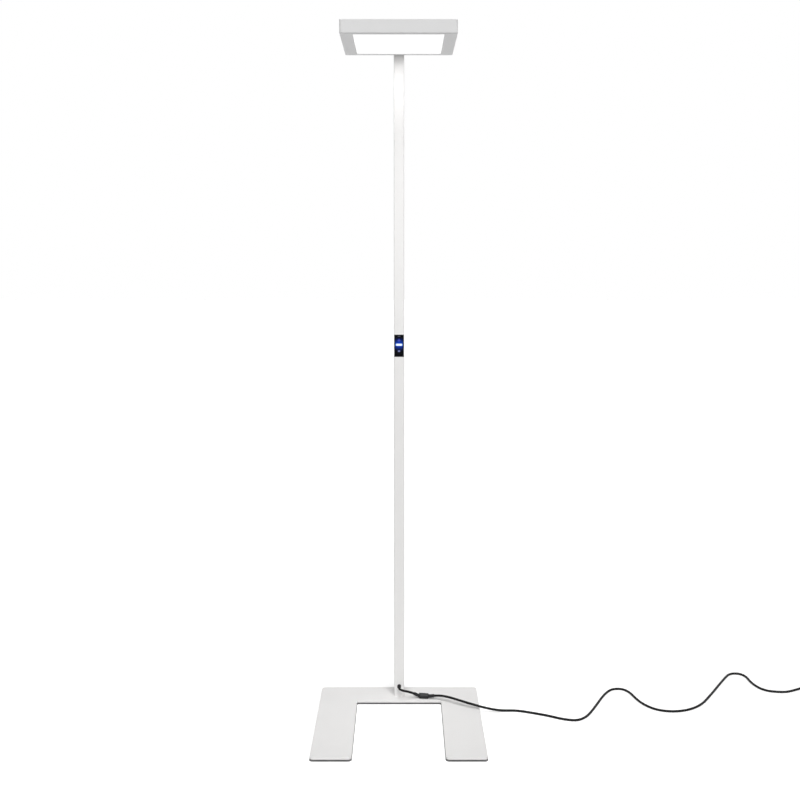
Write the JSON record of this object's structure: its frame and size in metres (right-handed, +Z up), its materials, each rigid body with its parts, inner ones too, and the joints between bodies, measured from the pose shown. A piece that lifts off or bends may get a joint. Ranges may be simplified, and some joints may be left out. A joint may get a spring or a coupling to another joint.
{
  "type": "led floor lamp",
  "caption": "Tall floor lamp with a flat square edge-lit LED head on a square stem, a key unit in the stem, a U-shaped plate base and a black cord with an in-line coupler.",
  "frame": {"origin": "on the floor, under the middle of the base plate's 480 by 475 mm outline", "axes": "+Z up, along the stem; -Y to the front, where the keys face and the head reaches; +X to the right as seen from the front, where the cord runs"},
  "size_m": [1.6973, 0.6047, 1.959],
  "materials": {
    "white_steel": "matte",
    "white_trim": "matte",
    "screw_steel": "satin",
    "plated_steel": "satin",
    "aluminium": "satin",
    "brass": "satin",
    "black_plastic": "matte",
    "black_gloss": "gloss",
    "key_black": "matte",
    "dark_spacer": "matte",
    "pad_rubber": "matte",
    "cord_rubber": "matte",
    "lead_sheath": "matte",
    "board_green": "matte",
    "switch_grey": "matte",
    "chip_white": "gloss",
    "connector_white": "matte",
    "blue_window": "gloss",
    "smoke_window": "gloss",
    "opal_diffuser": "matte",
    "clear_guide": "gloss",
    "white_film": "matte",
    "led_board": "matte",
    "driver_case": "matte",
    "wire_red": "matte"
  },
  "bodies": {
    "lamp": {"base_plate": "white_steel", "glide_pads": "pad_rubber", "foot_screws": "screw_steel", "lower_stem": "white_steel", "upper_stem": "white_steel", "foot_block": "plated_steel", "stem_joiner": "plated_steel", "stem_screws": "screw_steel", "stem_cap": "white_trim", "control_housing": "black_plastic", "control_face": "black_gloss", "light_bar": "blue_window", "sensor_lens": "smoke_window", "control_board": "board_green", "board_spacers": "brass", "board_screws": "screw_steel", "key_switches": "switch_grey", "board_chips": "chip_white", "board_connectors": "connector_white", "head_shell": "white_steel", "diffuser": "opal_diffuser", "light_guide": "clear_guide", "reflector_sheet": "white_film", "led_strips": "led_board", "led_chips": "chip_white", "led_rails": "aluminium", "rail_studs": "screw_steel", "rail_nuts": "screw_steel", "back_plate": "aluminium", "plate_screws": "screw_steel", "driver": "driver_case", "driver_screws": "screw_steel", "terminal_block": "connector_white", "driver_links": "lead_sheath", "led_leads": "wire_red", "top_cover": "white_steel", "cover_posts": "plated_steel", "cover_screws": "screw_steel", "head_spacer": "dark_spacer", "head_backing": "plated_steel", "head_nut_block": "plated_steel", "head_screws": "screw_steel", "lead_grommet": "pad_rubber", "lower_lead": "lead_sheath", "upper_lead": "lead_sheath", "cord_gland": "black_plastic", "coupler_plug": "black_plastic", "coupler_socket": "black_plastic", "cord_tail": "cord_rubber", "supply_cord": "cord_rubber", "cord_coil": "cord_rubber", "cord_end": "cord_rubber", "coil_tie": "black_plastic", "mains_plug": "black_plastic", "plug_pins": "brass"},
    "up_key": {"key_up": "key_black", "plunger_up": "switch_grey"},
    "down_key": {"key_down": "key_black", "plunger_down": "switch_grey"}
  },
  "joints": [
    {"name": "key_up_press", "type": "slide", "parent": "lamp", "child": "up_key", "axis": [0, 1, 0], "range_m": [0, 0.0008], "stiffness_N_per_m": 1500, "springref_m": -0.0005},
    {"name": "key_down_press", "type": "slide", "parent": "lamp", "child": "down_key", "axis": [0, 1, 0], "range_m": [0, 0.0008], "stiffness_N_per_m": 1500, "springref_m": -0.0005}
  ]
}
